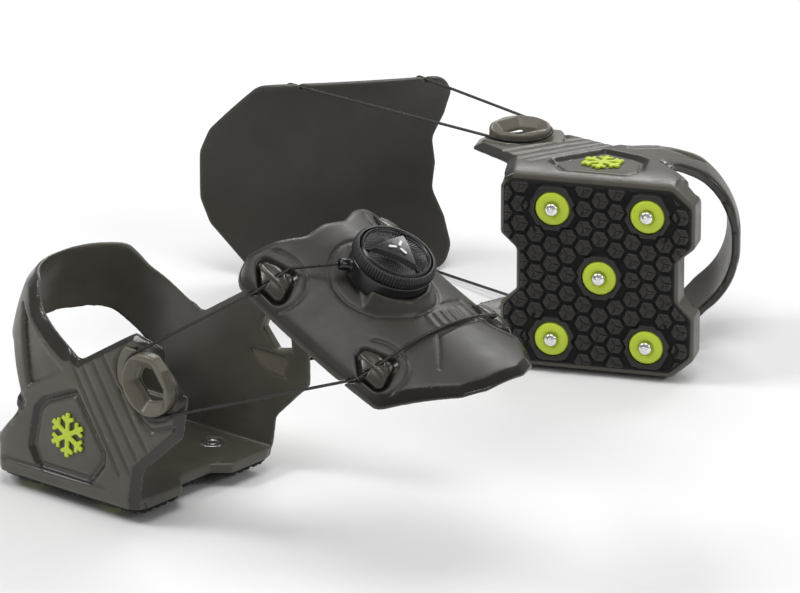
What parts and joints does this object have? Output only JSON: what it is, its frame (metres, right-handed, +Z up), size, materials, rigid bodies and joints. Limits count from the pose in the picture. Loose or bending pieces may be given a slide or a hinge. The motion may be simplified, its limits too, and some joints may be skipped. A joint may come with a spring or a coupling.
{
  "type": "shoe ice cleats",
  "caption": "Pair of heel ice cleats: studded rubber heel cup, and a curved instep plate whose dial reel winds a steel lace tight round the boot.",
  "frame": {"origin": "centre of the pair's bounding box, on the ground", "axes": "+X towards the toe of the right cleat, which stands on its spikes; +Y from it towards the left cleat, which lies on its side; +Z up"},
  "size_m": [0.3176, 0.3232, 0.1264],
  "materials": {
    "cup_rubber": "satin moulded elastomer",
    "tread_rubber": "matt",
    "lime_plastic": "satin",
    "spike_steel": "bright turned steel",
    "guide_plastic": "satin",
    "plate_plastic": "fine grain satin",
    "reel_plastic": "gloss",
    "dial_plastic": "gloss",
    "grip_rubber": "satin ribbed rubber",
    "emblem_plastic": "printed",
    "lace_steel": "dark coated strand"
  },
  "bodies": {
    "right_heel": {"right_heel_cup": "cup_rubber", "right_tread_pad": "tread_rubber", "right_spike_bases": "lime_plastic", "right_ice_spikes": "spike_steel", "right_spike_inserts": "spike_steel", "right_outer_heel_guide": "guide_plastic", "right_inner_heel_guide": "guide_plastic", "right_outer_badge": "lime_plastic", "right_inner_badge": "lime_plastic"},
    "right_lace_yoke": {"right_lace_span_outer": "lace_steel", "right_lace_span_inner": "lace_steel"},
    "right_plate": {"right_instep_plate": "plate_plastic", "right_rear_guide_outer": "guide_plastic", "right_rear_guide_inner": "guide_plastic", "right_front_guide_outer": "guide_plastic", "right_front_guide_inner": "guide_plastic", "right_reel_housing": "reel_plastic", "right_lace_plate_run": "lace_steel"},
    "right_spool": {"right_spool": "reel_plastic", "right_lace_winding": "lace_steel", "right_drive_disc": "reel_plastic"},
    "right_dial": {"right_dial_core": "dial_plastic", "right_dial_grip": "grip_rubber", "right_dial_spring": "spike_steel", "right_dial_screw": "spike_steel", "right_dial_emblem": "emblem_plastic"},
    "left_heel": {"left_heel_cup": "cup_rubber", "left_tread_pad": "tread_rubber", "left_spike_bases": "lime_plastic", "left_ice_spikes": "spike_steel", "left_spike_inserts": "spike_steel", "left_outer_heel_guide": "guide_plastic", "left_inner_heel_guide": "guide_plastic", "left_outer_badge": "lime_plastic", "left_inner_badge": "lime_plastic"},
    "left_lace_yoke": {"left_lace_span_outer": "lace_steel", "left_lace_span_inner": "lace_steel"},
    "left_plate": {"left_instep_plate": "plate_plastic", "left_rear_guide_outer": "guide_plastic", "left_rear_guide_inner": "guide_plastic", "left_front_guide_outer": "guide_plastic", "left_front_guide_inner": "guide_plastic", "left_reel_housing": "reel_plastic", "left_lace_plate_run": "lace_steel"},
    "left_spool": {"left_spool": "reel_plastic", "left_lace_winding": "lace_steel", "left_drive_disc": "reel_plastic"},
    "left_dial": {"left_dial_core": "dial_plastic", "left_dial_grip": "grip_rubber", "left_dial_spring": "spike_steel", "left_dial_screw": "spike_steel", "left_dial_emblem": "emblem_plastic"}
  },
  "joints": [
    {"name": "left_cleat_lift", "type": "slide", "parent": "right_heel", "child": "left_heel", "axis": [0, 0, 1], "range_m": [0, 0.2]},
    {"name": "right_plate_swing", "type": "hinge", "parent": "right_heel", "child": "right_lace_yoke", "pos_m": [0.01811, -0.12008, 0.058], "axis": [0, -1, 0], "range_deg": [0, 35]},
    {"name": "right_plate_draw", "type": "slide", "parent": "right_lace_yoke", "child": "right_plate", "axis": [0.8524, 0, 0.5229], "range_m": [0, 0.03], "deforming": ["right_lace_span_outer", "right_lace_span_inner"]},
    {"name": "right_dial_turn", "type": "hinge", "parent": "right_plate", "child": "right_spool", "pos_m": [0.09961, -0.12008, 0.108], "axis": [0.4384, 0, 0.8988], "range_deg": [0, 450]},
    {"name": "right_dial_lift", "type": "slide", "parent": "right_spool", "child": "right_dial", "axis": [0.4384, 0, 0.8988], "range_m": [0, 0.0025]},
    {"name": "left_plate_swing", "type": "hinge", "parent": "left_heel", "child": "left_lace_yoke", "pos_m": [-0.02009, 0.10505, 0.04148], "axis": [0, 0, -1], "range_deg": [0, 35]},
    {"name": "left_plate_draw", "type": "slide", "parent": "left_lace_yoke", "child": "left_plate", "axis": [-0.9935, 0.1137, 0], "range_m": [0, 0.03], "deforming": ["left_lace_span_outer", "left_lace_span_inner"]},
    {"name": "left_dial_turn", "type": "hinge", "parent": "left_plate", "child": "left_spool", "pos_m": [-0.11509, 0.11592, 0.04148], "axis": [-0.7771, 0.6293, 0], "range_deg": [0, 450]},
    {"name": "left_dial_lift", "type": "slide", "parent": "left_spool", "child": "left_dial", "axis": [-0.7771, 0.6293, 0], "range_m": [0, 0.0025]}
  ],
  "couplings": [
    {"joint": "right_dial_turn", "follows": "right_plate_draw", "rad_per_m": 256.41},
    {"joint": "left_dial_turn", "follows": "left_plate_draw", "rad_per_m": 256.41}
  ]
}
